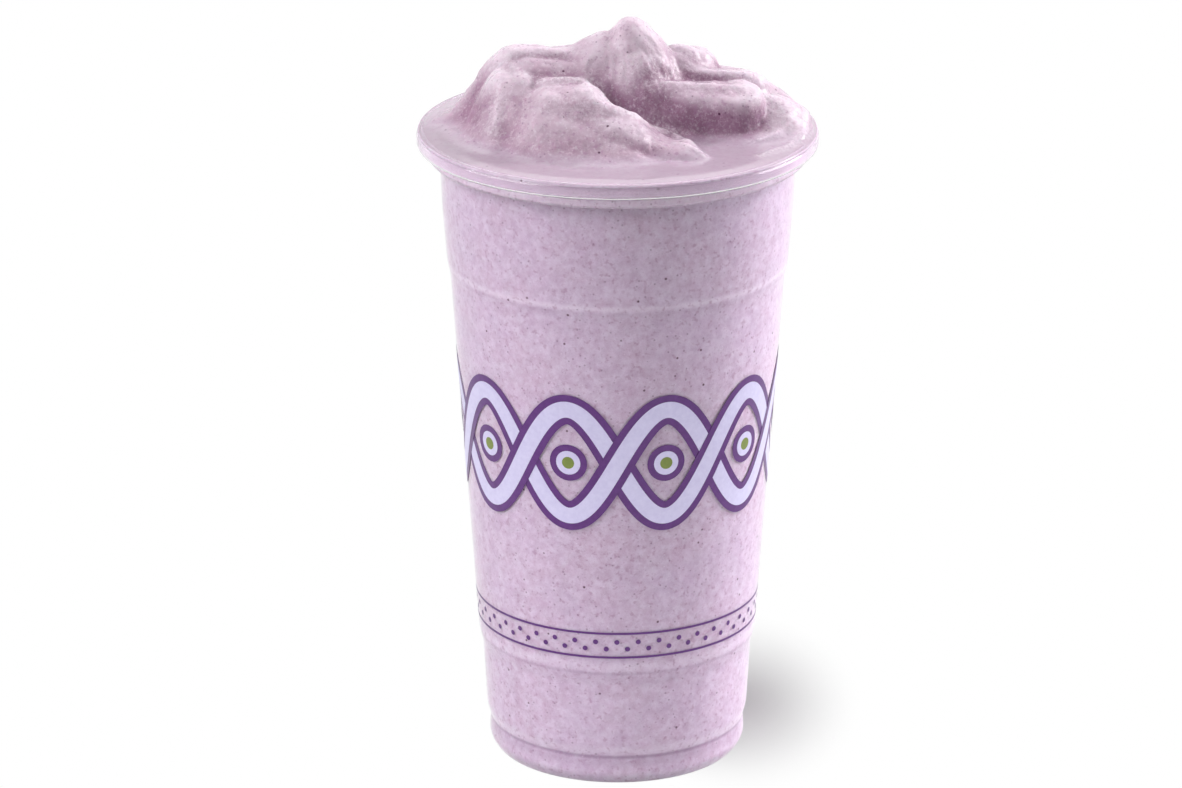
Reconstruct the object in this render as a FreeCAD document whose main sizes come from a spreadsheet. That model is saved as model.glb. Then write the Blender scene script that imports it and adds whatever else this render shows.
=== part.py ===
"""A tall clear takeaway cup, thermoformed from one sheet, heaped over the brim with a thick slush smoothie.

Millimetres, +Z up. The origin is the centre of the base, on the surface that the cup stands on.
The drinker's side, where the front of the heap is, faces -Y.

Two pieces:
  cup        one thin shell: recessed base, stacking foot, flared wall with two steps, ledge, neck and curled lip
  smoothie   everything in it: the fill, the skirt that has run out over the lip, and the folded heap on top
"""
import FreeCAD, Part
import math
import os
from collections import namedtuple

import Sketcher

Vector = FreeCAD.Vector

# ---------------------------------------------------------------------------------------------------------------------
# Driving dimensions: name, value, meaning
# ---------------------------------------------------------------------------------------------------------------------
SIZES = [
    ("cup_height", 155.5, "from the table to the top of the lip"),
    ("lip_radius", 47.5, "outside of the curled lip"),
    ("foot_radius", 31.0, "outside of the foot, just above the table"),
    ("wall", 0.45, "thickness of the formed sheet, the same all over"),
    # base
    ("recess_depth", 2.5, "how far the base is pushed up inside its ring"),
    ("recess_side", 1.8, "run of the recess's sloping side"),
    ("ring_width", 1.5, "flat ring that the cup stands on"),
    ("heel_run", 1.7, "foot's bottom corner, sideways"),
    ("heel_rise", 2.6, "foot's bottom corner, upwards"),
    # stacking foot
    ("groove_height", 7.4, "height of the shallow groove round the foot"),
    ("groove_depth", 0.3, "depth of that groove"),
    ("foot_height", 10.4, "top of the flare above the groove"),
    ("foot_flare", 0.6, "how far that flare stands out from the foot"),
    # plain band and lower step
    ("band_height", 26.6, "height of the bottom of the lower step"),
    ("band_flare", 0.9, "how much the band widens on its way up"),
    ("low_step_rise", 3.9, "height of the lower step"),
    ("low_step_run", 0.95, "width of the lower step"),
    # upper step, shoulder and neck, all measured down and in from the lip
    ("up_step_drop", 35.3, "from the lip's top down to the bottom of the upper step"),
    ("up_step_rise", 3.2, "height of the upper step"),
    ("up_step_run", 0.75, "width of the upper step"),
    ("collar_drop", 17.5, "from the lip's top down to where the collar turns upright"),
    ("collar_flare", 1.15, "how much the collar widens below that turn"),
    ("collar_lean", 0.35, "how much it widens above it"),
    ("ledge_drop", 6.3, "from the lip's top down to the stacking ledge"),
    ("ledge_rise", 0.8, "slope of the ledge"),
    ("ledge_run", 2.9, "width of the ledge"),
    # curled lip
    ("curl_reach", 2.6, "how far the lip stands out from the neck"),
    ("curl_skirt", 1.3, "upright part of the lip below its round top"),
    ("curl_tuck", 1.0, "outside radius of the lip's turned-in bottom edge"),
    ("tuck_angle", 75.0, "how far that edge turns in, in degrees"),
    # smoothie
    ("spill_inset", 0.7, "from the lip's outside in to the smoothie's edge"),
    ("spill_film", 0.3, "how high the smoothie's edge stands above the lip"),
    ("spill_swell", 0.45, "how much the skirt swells behind that edge"),
    ("mound_height", 25.2, "crest of the highest fold above the skirt"),
]

doc = FreeCAD.newDocument("taro_smoothie")


def add_sizes():
    """The sheet of driving dimensions: column A names the cell in column B, and column C says what it is."""
    sheet = doc.addObject("Spreadsheet::Sheet", "sizes")
    for row, (name, value, meaning) in enumerate(SIZES, start=1):
        sheet.set(f"A{row}", name)
        sheet.set(f"B{row}", str(value))
        sheet.set(f"C{row}", meaning)
        sheet.setAlias(f"B{row}", name)
    doc.recompute()
    return sheet


sizes = add_sizes()


def size(formula):
    """The number that a formula over the sheet's names comes to, for laying out a sketch before it is constrained."""
    cell = f"D{len(SIZES) + 1}"
    sizes.set(cell, f"={formula}")
    doc.recompute()
    return float(sizes.get(cell))


def bound(formula):
    """The same formula as an expression that another object can hold."""
    text = formula
    for name, _, _ in sorted(SIZES, key=lambda entry: -len(entry[0])):
        text = text.replace(name, f"<<sizes>>.{name}")
    return text


# ---------------------------------------------------------------------------------------------------------------------
# Sketch helpers
# ---------------------------------------------------------------------------------------------------------------------
ORIGIN = (-1, 1)
V_AXIS = -2
START, END, CENTRE = 1, 2, 3


def upright_sketch(body, name):
    """A sketch on the body's own XZ plane: its X is the radius and its Y the height."""
    sketch = body.newObject("Sketcher::SketchObject", name)
    plane = next(part for part in body.Origin.OriginFeatures if part.Role == "XZ_Plane")
    sketch.AttachmentSupport = [(plane, "")]
    sketch.MapMode = "FlatFace"
    return sketch


def bind(sketch, kind, places, formula):
    """Add a dimension between the places and tie it to a formula over the sheet."""
    index = sketch.addConstraint(Sketcher.Constraint(kind, *places, size(formula)))
    sketch.setExpression(f"Constraints[{index}]", bound(formula))


def bind_corner(sketch, edge, end, radius, height):
    """Tie one corner of the sketch to its radius and height; a radius of None is the axis, a height of "0" the table."""
    if radius is None:
        sketch.addConstraint(Sketcher.Constraint("PointOnObject", edge, end, V_AXIS))
    else:
        bind(sketch, "DistanceX", (*ORIGIN, edge, end), radius)
    if height == "0":
        sketch.addConstraint(Sketcher.Constraint("PointOnObject", edge, end, -1))
    else:
        bind(sketch, "DistanceY", (*ORIGIN, edge, end), height)


def closed_outline(sketch, corners):
    """A closed run of straight lines through corners given as pairs of formulas (radius, height)."""
    points = []
    for radius, height in corners:
        across = 0.0 if radius is None else size(radius)
        points.append(Vector(across, size(height), 0))
    count = len(points)
    for edge, start in enumerate(points):
        sketch.addGeometry(Part.LineSegment(start, points[(edge + 1) % count]), False)
    for edge in range(count):
        sketch.addConstraint(Sketcher.Constraint("Coincident", edge, END, (edge + 1) % count, START))
    for edge, (radius, height) in enumerate(corners):
        bind_corner(sketch, edge, START, radius, height)


def spin(body, sketch, name):
    """Turn a sketch once round the axis."""
    turned = body.newObject("PartDesign::Revolution", name)
    turned.Profile = sketch
    turned.ReferenceAxis = (sketch, ["V_Axis"])
    turned.Angle = 360
    doc.recompute()
    return turned


# ---------------------------------------------------------------------------------------------------------------------
# Cup
# ---------------------------------------------------------------------------------------------------------------------
# Corners of the cup's outside, from the axis under the base up to the neck, as formulas over the sheet.
CURL_RADIUS = "(curl_reach + wall) / 2"
NECK_RADIUS = "lip_radius - curl_reach"
LEDGE_RADIUS = f"{NECK_RADIUS} - ledge_run"
COLLAR_RADIUS = f"{LEDGE_RADIUS} - collar_lean"
UP_STEP_RADIUS = f"{COLLAR_RADIUS} - collar_flare"
CURL_HEIGHT = f"cup_height - {CURL_RADIUS}"
RING_RADIUS = "foot_radius - heel_run"
FLARE_RADIUS = "foot_radius + foot_flare"
BAND_RADIUS = f"{FLARE_RADIUS} + band_flare"

OUTSIDE = [
    (None, "recess_depth"),
    (f"{RING_RADIUS} - ring_width - recess_side", "recess_depth"),
    (f"{RING_RADIUS} - ring_width", "0"),
    (RING_RADIUS, "0"),
    ("foot_radius", "heel_rise"),
    ("foot_radius - groove_depth", "groove_height"),
    (FLARE_RADIUS, "foot_height"),
    (BAND_RADIUS, "band_height"),
    (f"{BAND_RADIUS} + low_step_run", "band_height + low_step_rise"),
    (f"{UP_STEP_RADIUS} - up_step_run", "cup_height - up_step_drop"),
    (UP_STEP_RADIUS, "cup_height - up_step_drop + up_step_rise"),
    (COLLAR_RADIUS, "cup_height - collar_drop"),
    (LEDGE_RADIUS, "cup_height - ledge_drop - ledge_rise"),
    (NECK_RADIUS, "cup_height - ledge_drop"),
    (NECK_RADIUS, CURL_HEIGHT),
    (None, CURL_HEIGHT),
]


def highest_flat_face(feature):
    """The name of the feature's top face."""
    faces = feature.Shape.Faces
    flat = [i for i, face in enumerate(faces) if isinstance(face.Surface, Part.Plane)]
    top = max(flat, key=lambda i: faces[i].CenterOfMass.z)
    return f"Face{top + 1}"


def polar(centre, radius, degrees):
    angle = math.radians(degrees)
    return Vector(centre.x + radius * math.cos(angle), centre.y + radius * math.sin(angle), 0)


def arc(centre, radius, first, last):
    """An arc drawn anticlockwise from the first angle to the last, in degrees."""
    circle = Part.Circle(centre, Vector(0, 0, 1), radius)
    return Part.ArcOfCircle(circle, math.radians(first), math.radians(last))


def curl_outline(sketch):
    """The lip's section: the sheet rolls over the neck, runs down outside it and turns in at its bottom edge."""
    wall = size("wall")
    tuck = size("curl_tuck")
    turn = size("tuck_angle")
    over = Vector(size(f"lip_radius - {CURL_RADIUS}"), size(CURL_HEIGHT), 0)
    outer = size(CURL_RADIUS)
    under = Vector(over.x + outer - tuck, over.y - size("curl_skirt"), 0)
    inner = outer - wall
    top_out = sketch.addGeometry(arc(over, outer, 0, 180), False)
    top_in = sketch.addGeometry(arc(over, inner, 0, 180), False)
    skirt_out = sketch.addGeometry(Part.LineSegment(polar(under, tuck, 0), polar(over, outer, 0)), False)
    skirt_in = sketch.addGeometry(Part.LineSegment(polar(under, tuck - wall, 0), polar(over, inner, 0)), False)
    tuck_out = sketch.addGeometry(arc(under, tuck, -turn, 0), False)
    tuck_in = sketch.addGeometry(arc(under, tuck - wall, -turn, 0), False)
    lip_end = sketch.addGeometry(Part.LineSegment(polar(under, tuck, -turn), polar(under, tuck - wall, -turn)), False)
    seam = sketch.addGeometry(Part.LineSegment(polar(over, inner, 180), polar(over, outer, 180)), False)
    joints = [
        (skirt_out, END, top_out, START),
        (skirt_in, END, top_in, START),
        (tuck_out, END, skirt_out, START),
        (tuck_in, END, skirt_in, START),
        (lip_end, START, tuck_out, START),
        (lip_end, END, tuck_in, START),
        (seam, START, top_in, END),
        (seam, END, top_out, END),
        (top_in, CENTRE, top_out, CENTRE),
        (tuck_in, CENTRE, tuck_out, CENTRE),
    ]
    for joint in joints:
        sketch.addConstraint(Sketcher.Constraint("Coincident", *joint))
    sketch.addConstraint(Sketcher.Constraint("Vertical", skirt_out))
    sketch.addConstraint(Sketcher.Constraint("Horizontal", seam))
    sketch.addConstraint(Sketcher.Constraint("Horizontal", top_out, START, top_out, CENTRE))
    sketch.addConstraint(Sketcher.Constraint("Horizontal", top_in, START, top_in, CENTRE))
    sketch.addConstraint(Sketcher.Constraint("Horizontal", top_out, END, top_out, CENTRE))
    sketch.addConstraint(Sketcher.Constraint("Horizontal", tuck_out, END, tuck_out, CENTRE))
    sketch.addConstraint(Sketcher.Constraint("Horizontal", tuck_in, END, tuck_in, CENTRE))
    sketch.addConstraint(Sketcher.Constraint("PointOnObject", tuck_out, CENTRE, lip_end))
    bind(sketch, "DistanceX", (*ORIGIN, top_out, CENTRE), f"lip_radius - {CURL_RADIUS}")
    bind(sketch, "DistanceY", (*ORIGIN, top_out, CENTRE), CURL_HEIGHT)
    bind(sketch, "Radius", (top_out,), CURL_RADIUS)
    bind(sketch, "Radius", (top_in,), f"{CURL_RADIUS} - wall")
    bind(sketch, "Radius", (tuck_out,), "curl_tuck")
    bind(sketch, "DistanceY", (skirt_out, START, skirt_out, END), "curl_skirt")
    bind(sketch, "DistanceY", (tuck_out, START, tuck_out, CENTRE), "curl_tuck * sin(tuck_angle * 1deg)")


def build_cup():
    """Form the cup as its sheet is formed: the outside first, then one wall thickness inside it, then the lip."""
    body = doc.addObject("PartDesign::Body", "cup_body")
    body.Label = "cup"
    outline = upright_sketch(body, "cup_outside")
    closed_outline(outline, OUTSIDE)
    doc.recompute()
    solid = spin(body, outline, "formed_outside")

    shell = body.newObject("PartDesign::Thickness", "sheet")
    shell.Base = (solid, [highest_flat_face(solid)])
    shell.Reversed = True
    shell.Mode = "Skin"
    shell.Join = "Intersection"
    shell.setExpression("Value", bound("wall"))
    doc.recompute()

    curl = upright_sketch(body, "lip_section")
    curl_outline(curl)
    doc.recompute()
    spin(body, curl, "curled_lip")
    return body


# ---------------------------------------------------------------------------------------------------------------------
# Smoothie
# ---------------------------------------------------------------------------------------------------------------------
# A fold of the heap runs from (x1, y1) to (x2, y2), shares of the smoothie's radius. Its crest goes from height h1 to
# h2, shares of mound_height, and it falls to half of that at `front` towards -Y and at `back` towards +Y, shares of the
# radius too. A low power makes a pointed fold, a high one a blunt fold with steep sides.
Fold = namedtuple("Fold", "name x1 y1 h1 x2 y2 h2 front back power")

FOLDS = [
    Fold("left shoulder", -0.54, -0.11, 0.64, -0.52, 0.06, 0.66, 0.21, 0.17, 5.0),
    Fold("left crest", -0.50, -0.03, 0.77, -0.13, 0.02, 0.75, 0.12, 0.24, 3.0),
    Fold("shelf below the crest", -0.43, -0.16, 0.60, -0.21, -0.16, 0.60, 0.13, 0.13, 3.0),
    Fold("peak", -0.06, 0.03, 0.87, 0.06, 0.03, 1.00, 0.21, 0.24, 1.9),
    Fold("brow of the peak", -0.09, -0.06, 0.75, 0.09, -0.09, 0.71, 0.14, 0.13, 2.2),
    Fold("right side of the peak", 0.07, 0.03, 0.89, 0.28, 0.09, 0.69, 0.17, 0.19, 2.2),
    Fold("upper roll", 0.15, -0.12, 0.50, 0.58, -0.11, 0.46, 0.13, 0.17, 4.0),
    Fold("roll behind it", 0.32, 0.06, 0.53, 0.62, 0.06, 0.50, 0.11, 0.17, 3.0),
    Fold("knob", 0.34, 0.16, 0.68, 0.38, 0.18, 0.67, 0.13, 0.17, 3.5),
    Fold("right lobe", 0.64, 0.04, 0.40, 0.77, 0.06, 0.25, 0.18, 0.18, 3.0),
    Fold("tongue, level part", -0.34, -0.27, 0.60, -0.20, -0.27, 0.60, 0.15, 0.13, 3.5),
    Fold("tongue, falling part", -0.17, -0.35, 0.44, 0.28, -0.49, 0.14, 0.13, 0.10, 3.5),
    Fold("belly under the tongue", -0.30, -0.32, 0.48, -0.02, -0.38, 0.34, 0.22, 0.17, 3.0),
    Fold("left flank", -0.47, -0.17, 0.59, -0.30, -0.21, 0.56, 0.22, 0.17, 3.2),
    Fold("back left", -0.36, 0.26, 0.52, 0.13, 0.43, 0.52, 0.19, 0.26, 3.0),
    Fold("back right", 0.17, 0.34, 0.56, 0.51, 0.30, 0.38, 0.17, 0.30, 3.0),
    Fold("body, left", -0.30, 0.00, 0.48, 0.09, 0.04, 0.40, 0.38, 0.43, 3.5),
    Fold("body, right", 0.09, 0.04, 0.40, 0.51, 0.06, 0.36, 0.26, 0.34, 3.5),
]

# A furrow between folds, in the same shares; it takes its depth away with a soft edge of the width.
Furrow = namedtuple("Furrow", "name x1 y1 d1 x2 y2 d2 width")

FURROWS = [
    Furrow("valley behind the tongue", -0.02, -0.24, 0.12, 0.41, -0.33, 0.06, 0.060),
    Furrow("under the left crest", -0.50, -0.16, 0.05, -0.19, -0.12, 0.05, 0.040),
]

BLEND = 8.0           # how sharply one fold passes into the next
FOOT_FADE = 0.95      # share of the radius inside which the heap stands; it fades out to the edge
POLES = 31            # control points of the top surface along each side
POLE_MARGIN = 1.05    # how far the surface reaches past the smoothie's edge


def soft_step(share):
    share = min(max(share, 0.0), 1.0)
    return share * share * (3 - 2 * share)


def beside(run, x, y):
    """How far along a run the point lies, from 0 to 1, and how far behind it and past its ends, in shares."""
    length = math.hypot(run.x2 - run.x1, run.y2 - run.y1)
    ahead_x = (run.x2 - run.x1) / length
    ahead_y = (run.y2 - run.y1) / length
    along = (x - run.x1) * ahead_x + (y - run.y1) * ahead_y
    behind = (y - run.y1) * ahead_x - (x - run.x1) * ahead_y
    inside = min(max(along, 0.0), length)
    return inside / length, behind, along - inside


def fold_height(fold, x, y):
    along, behind, past = beside(fold, x, y)
    side = soft_step(0.5 + 2 * behind / (fold.front + fold.back))
    half_width = fold.front + (fold.back - fold.front) * side
    crest = fold.h1 + (fold.h2 - fold.h1) * soft_step(along)
    return crest * 2.0 ** -((math.hypot(behind, past) / half_width) ** fold.power)


def furrow_depth(furrow, x, y):
    along, behind, past = beside(furrow, x, y)
    depth = furrow.d1 + (furrow.d2 - furrow.d1) * along
    return depth * math.exp(-(behind ** 2 + past ** 2) / furrow.width ** 2)


def heap_height(x, y):
    """The heap above its skirt, as a share of mound_height, at a place given in shares of the smoothie's radius."""
    blended = sum(fold_height(fold, x, y) ** BLEND for fold in FOLDS) ** (1 / BLEND)
    carved = sum(furrow_depth(furrow, x, y) for furrow in FURROWS)
    standing = soft_step((1 - math.hypot(x, y)) / (1 - FOOT_FADE))
    return max(blended - carved * min(blended / 0.16, 1.0), 0.0) * standing


def top_surface(radius):
    """The smoothie's upper surface over a square that covers the lip: one smooth face through a grid of poles."""
    lip_top = sizes.cup_height + sizes.spill_film
    reach = radius * POLE_MARGIN
    poles = []
    for row in range(POLES):
        y = reach * (2 * row / (POLES - 1) - 1)
        line = []
        for column in range(POLES):
            x = reach * (2 * column / (POLES - 1) - 1)
            heap = sizes.mound_height * heap_height(x / radius, y / radius)
            swell = sizes.spill_swell * soft_step((radius - math.hypot(x, y)) / (0.1 * radius))
            line.append(Vector(x, y, lip_top + math.hypot(heap, swell)))
        poles.append(line)
    spans = POLES - 3
    knots = [float(i) for i in range(spans + 1)]
    repeats = [4] + [1] * (spans - 1) + [4]
    surface = Part.BSplineSurface()
    surface.buildFromPolesMultsKnots(poles, repeats, repeats, knots, knots, False, False, 3, 3)
    return surface


def part_object(kind, name, **formulas):
    """A Part workbench object whose properties are bound to formulas over the sheet."""
    made = doc.addObject(kind, name)
    for place, formula in formulas.items():
        made.setExpression(place, bound(formula))
    return made


def build_smoothie(cup):
    """Pour a column out to the spill's edge, top it with the folded surface, and let the cup shape all the rest."""
    radius = sizes.lip_radius - sizes.spill_inset
    column_height = "cup_height + mound_height * 2"
    column = part_object("Part::Cylinder", "spill_column",
                         Radius="lip_radius - spill_inset", Height=column_height)

    surface = doc.addObject("Part::Feature", "folded_surface")
    surface.Shape = top_surface(radius).toShape()
    surface.Placement = FreeCAD.Placement()

    below = doc.addObject("Part::Extrusion", "below_the_surface")
    below.Base = surface
    below.DirMode = "Custom"
    below.Dir = Vector(0, 0, -1)
    below.setExpression("LengthFwd", bound(column_height))
    below.Solid = False
    doc.recompute()

    heap = doc.addObject("Part::Common", "heaped_column")
    heap.Base = column
    heap.Tool = below
    doc.recompute()

    poured = doc.addObject("Part::Cut", "poured")
    poured.Base = heap
    poured.Tool = cup
    doc.recompute()

    smoothie = doc.addObject("Part::Feature", "smoothie")
    smoothie.Shape = max(poured.Shape.Solids, key=lambda solid: solid.Volume)
    smoothie.Placement = FreeCAD.Placement()
    return smoothie


# ---------------------------------------------------------------------------------------------------------------------
# Build, check and write
# ---------------------------------------------------------------------------------------------------------------------
cup_body = build_cup()
smoothie_solid = build_smoothie(cup_body)
doc.recompute()

for thing in doc.Objects:
    if "Invalid" in thing.State or "Error" in thing.State:
        raise RuntimeError(f"{thing.Name} failed: {thing.State}")

os.makedirs("parts", exist_ok=True)
for piece in (cup_body, smoothie_solid):
    shape = piece.Shape
    if shape.isNull() or not shape.isValid() or len(shape.Solids) != 1:
        raise RuntimeError(f"{piece.Label} is not one sound solid")
    print(f"{piece.Label}: {shape.Volume / 1000:.1f} ml, {len(shape.Faces)} faces, up to {shape.BoundBox.ZMax:.2f} mm")

for piece in (cup_body, smoothie_solid):
    piece.Shape.exportStep(f"parts/{piece.Label}.step")
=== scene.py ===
# %% [markdown]
# # A taro smoothie in its cup
# A tall clear takeaway cup, pressed from one thin sheet of plastic, is filled over the brim with blended taro and ice.
# The frame brings the two solids, `cup` and `smoothie`, at their real size, in metres, standing on the floor at the
# origin with the drinker on the -Y side. This lesson gives each of them its finish: a smooth clear shell with a curled
# lip, a heap of soft icy folds, a printed band, and plain studio light.

# %% Load the frame
import bmesh
import bpy
import math
import numpy as np
from collections import namedtuple
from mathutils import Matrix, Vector, noise


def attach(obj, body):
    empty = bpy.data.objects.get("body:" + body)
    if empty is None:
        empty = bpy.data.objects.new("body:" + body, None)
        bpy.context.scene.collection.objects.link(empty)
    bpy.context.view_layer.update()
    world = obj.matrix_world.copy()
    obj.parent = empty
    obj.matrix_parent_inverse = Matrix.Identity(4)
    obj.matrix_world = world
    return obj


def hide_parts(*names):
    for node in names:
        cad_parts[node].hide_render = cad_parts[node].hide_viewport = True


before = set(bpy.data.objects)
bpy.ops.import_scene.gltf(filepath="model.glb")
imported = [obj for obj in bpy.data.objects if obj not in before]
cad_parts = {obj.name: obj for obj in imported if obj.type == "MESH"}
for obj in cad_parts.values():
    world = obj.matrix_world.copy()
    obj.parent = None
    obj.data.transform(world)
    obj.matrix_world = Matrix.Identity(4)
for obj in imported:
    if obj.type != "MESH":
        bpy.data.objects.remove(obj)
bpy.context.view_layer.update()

MM = 0.001
CENTRE = Vector((0, 0, 0))
UP = Vector((0, 0, 1))


# %% [markdown]
# ## Small helpers
# Colours are written as hex, the way a paint or ink chart gives them, and turned to the linear values that Blender
# mixes. One function adds a shader node with its settings and its links, and one turns a finished bmesh into a piece
# that rides on the frame's only body.

# %% Colour and node helpers
def linear(hex_code):
    """The linear colour of an sRGB hex code."""
    channels = []
    for place in (1, 3, 5):
        level = int(hex_code[place:place + 2], 16) / 255
        channels.append(level / 12.92 if level <= 0.04045 else ((level + 0.055) / 1.055) ** 2.4)
    return (*channels, 1.0)


WHITE = linear("#FFFFFF")


def add_node(tree, kind, inputs=None, **settings):
    """Add one node. Settings are its own properties; inputs are its sockets, each a value or a socket to link from."""
    made = tree.nodes.new(kind)
    for name, value in settings.items():
        setattr(made, name, value)
    for name, value in (inputs or {}).items():
        socket = made.inputs[name]
        if isinstance(value, bpy.types.NodeSocket):
            tree.links.new(value, socket)
        else:
            socket.default_value = value
    return made


def new_material(name):
    """An empty node material."""
    material = bpy.data.materials.new(name)
    material.use_nodes = True
    material.node_tree.nodes.clear()
    return material, material.node_tree


print("a middle grey, #808080, is", round(linear("#808080")[0], 3), "in linear light")


# %% Turn a bmesh into a piece
def finish_piece(bm, name, material):
    """Turn a bmesh into a smooth piece that rides on the root body and takes the given material."""
    mesh = bpy.data.meshes.new(name)
    bm.to_mesh(mesh)
    bm.free()
    for face in mesh.polygons:
        face.use_smooth = True
    mesh.materials.append(material)
    made = bpy.data.objects.new(name, mesh)
    bpy.context.scene.collection.objects.link(made)
    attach(made, "root")
    print(name, len(mesh.vertices), "vertices,", len(mesh.polygons), "faces")
    return made


# %% [markdown]
# ## The camera first
# A long lens from a little above keeps the cup's sides nearly upright. A short lens close by would make the lip wide
# and the foot small. The camera looks at a point just left of the axis and above the middle, so that the object sits
# where it should in the picture.

# %% Camera
CAMERA_DISTANCE = 1380 * MM
CAMERA_RISE = math.radians(19.59)
LOOK_HEIGHT = 79.55 * MM
LOOK_LEFT = 6.32 * MM
LOOK_UP = 8.65 * MM
LENS = 174.9
SENSOR_WIDTH = 36
VIEW_END = 20


def place_camera():
    forward = Vector((0, math.cos(CAMERA_RISE), -math.sin(CAMERA_RISE)))
    above = Vector((0, math.sin(CAMERA_RISE), math.cos(CAMERA_RISE)))
    side_step = Vector((-LOOK_LEFT, 0, 0)) + above * LOOK_UP
    data = bpy.data.cameras.new("camera")
    data.lens = LENS
    data.sensor_width = SENSOR_WIDTH
    data.clip_end = VIEW_END
    camera = bpy.data.objects.new("camera", data)
    bpy.context.scene.collection.objects.link(camera)
    target = Vector((0, 0, LOOK_HEIGHT))
    camera.location = target - forward * CAMERA_DISTANCE
    camera.rotation_euler = (target + side_step - camera.location).to_track_quat("-Z", "Y").to_euler()
    bpy.context.scene.camera = camera
    print("camera at", [round(value, 3) for value in camera.location], "m with a lens of", LENS, "mm")


place_camera()

# %% [markdown]
# ## The cup's line
# The real cup is pressed from a sheet: a hot skin of polypropylene is pushed into a mould and its rim is curled over.
# It could be built from stacked cones, or cut out of a solid block. It is modelled as a sheet instead, because then
# the wall has one thickness everywhere, as the real one has. One line runs from under the base to the end of the curl,
# its corners are rounded with a vertex bevel, it is spun once round the axis, and solidify gives it the wall.

# %% The outside line of the sheet, in millimetres
WALL = 0.45
CUP_HEIGHT = 155.5
LIP_RADIUS = 47.5
CURL_REACH = 2.6
CURL_SKIRT = 1.3
CURL_TUCK = 1.0
TUCK_ANGLE = 75.0
CURL_RADIUS = (CURL_REACH + WALL) / 2
CURL_HEIGHT = CUP_HEIGHT - CURL_RADIUS
NECK_RADIUS = LIP_RADIUS - CURL_REACH

Corner = namedtuple("Corner", "radius height rounding")
SHEET_LINE = [
    Corner(0.0, 2.5, 0.0),
    Corner(26.0, 2.5, 0.6),
    Corner(27.8, 0.0, 0.4),
    Corner(29.3, 0.0, 0.6),
    Corner(31.0, 2.6, 1.2),
    Corner(30.7, 7.4, 0.3),
    Corner(31.6, 10.4, 1.0),
    Corner(32.5, 26.6, 0.7),
    Corner(33.45, 30.5, 0.6),
    Corner(39.75, 120.2, 0.6),
    Corner(40.5, 123.4, 0.6),
    Corner(41.65, 138.0, 1.5),
    Corner(42.0, 148.4, 0.35),
    Corner(44.9, 149.2, 0.5),
    Corner(NECK_RADIUS, CURL_HEIGHT, 0.0),
]
ROUND_STEPS = 4
CURL_STEPS = 14
TUCK_STEPS = 6
print("a sheet line of", len(SHEET_LINE), "corners, with a curl", round(2 * CURL_RADIUS, 2), "mm across")


# %% Draw a line and carry it on
def draw_line(bm, corners):
    """Join the corners with edges in the XZ plane and round each by a vertex bevel."""
    verts = [bm.verts.new((c.radius * MM, 0, c.height * MM)) for c in corners]
    for first, second in zip(verts, verts[1:]):
        bm.edges.new((first, second))
    for vert, corner in zip(verts, corners):
        if corner.rounding:
            bmesh.ops.bevel(bm, geom=[vert], offset=corner.rounding * MM, offset_type="OFFSET", segments=ROUND_STEPS,
                            profile=0.5, affect="VERTICES", material=-1)


def highest(bm):
    return max(bm.verts, key=lambda v: (v.co.z, v.co.x))


def sweep_end(bm, vert, centre, degrees, steps):
    """Carry the line on from its end vertex along an arc about a point of the XZ plane; return the new end."""
    swept = bmesh.ops.spin(bm, geom=[vert], cent=centre, axis=(0, 1, 0), angle=math.radians(degrees), steps=steps)
    return next(item for item in swept["geom_last"] if isinstance(item, bmesh.types.BMVert))


def try_line():
    bm = bmesh.new()
    draw_line(bm, SHEET_LINE)
    print("rounded, the line has", len(bm.verts), "points up to", round(highest(bm).co.z / MM, 2), "mm")
    bm.free()


try_line()

# %% Spin the line round the axis
SPIN_STEPS = 224
WEDGES = 8
SAME_PLACE = 0.001 * MM


def spin_line(bm, steps):
    """Spin the line through an eighth of a turn, repeat that wedge round Z, and close the seams and the pole."""
    wedge = math.tau / WEDGES
    bmesh.ops.spin(bm, geom=bm.verts[:] + bm.edges[:], cent=CENTRE, axis=UP, angle=wedge, steps=steps // WEDGES)
    bmesh.ops.spin(bm, geom=bm.verts[:] + bm.edges[:] + bm.faces[:], cent=CENTRE, axis=UP, angle=math.tau - wedge,
                   steps=WEDGES - 1, use_duplicate=True)
    bmesh.ops.remove_doubles(bm, verts=bm.verts, dist=SAME_PLACE)
    bmesh.ops.recalc_face_normals(bm, faces=bm.faces)


def cup_sheet():
    """The cup's skin: its outside wall, which becomes the hollow side of the curl above the neck."""
    bm = bmesh.new()
    draw_line(bm, SHEET_LINE)
    over = Vector((LIP_RADIUS - CURL_RADIUS, 0, CURL_HEIGHT)) * MM
    end = sweep_end(bm, highest(bm), over, 180, CURL_STEPS)
    skirt = bmesh.ops.extrude_vert_indiv(bm, verts=[end])["verts"][0]
    skirt.co.z -= CURL_SKIRT * MM
    under = skirt.co - Vector((CURL_TUCK - WALL, 0, 0)) * MM
    sweep_end(bm, skirt, under, TUCK_ANGLE, TUCK_STEPS)
    spin_line(bm, SPIN_STEPS)
    return bm


print("the cup is spun in", SPIN_STEPS, "steps, by", WEDGES, "wedges of", 360 / WEDGES, "degrees")

# %% [markdown]
# ## Clear polypropylene, pressed and rolled
# The cup is polypropylene: clear with a faint milkiness, and glossy but softer in its reflections than glass, because
# the sheet takes a fine grain from the mould. To the eye that gives a wall which shows the drink plainly, under a few
# long soft highlights. The lip was heated and rolled over, which leaves it hazy: a pale ring that takes its lavender
# tint from the drink. One material with a painted mask could do both. Two with plain values are used, because a
# constant value survives the export to other programs. Polypropylene bends light by 1.49. Light has to reach the drink
# inside, so for shadow rays the plastic is plainly see-through.

# %% Clear pressed plastic
POLYPROPYLENE_IOR = 1.49
# The mould's real grain is far finer than this. It is drawn coarse and very low, so that it only bends highlights.
MOULD_GRAIN = 3.0
GRAIN_DEPTH = 0.05
GRAIN_STRENGTH = 0.12
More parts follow.
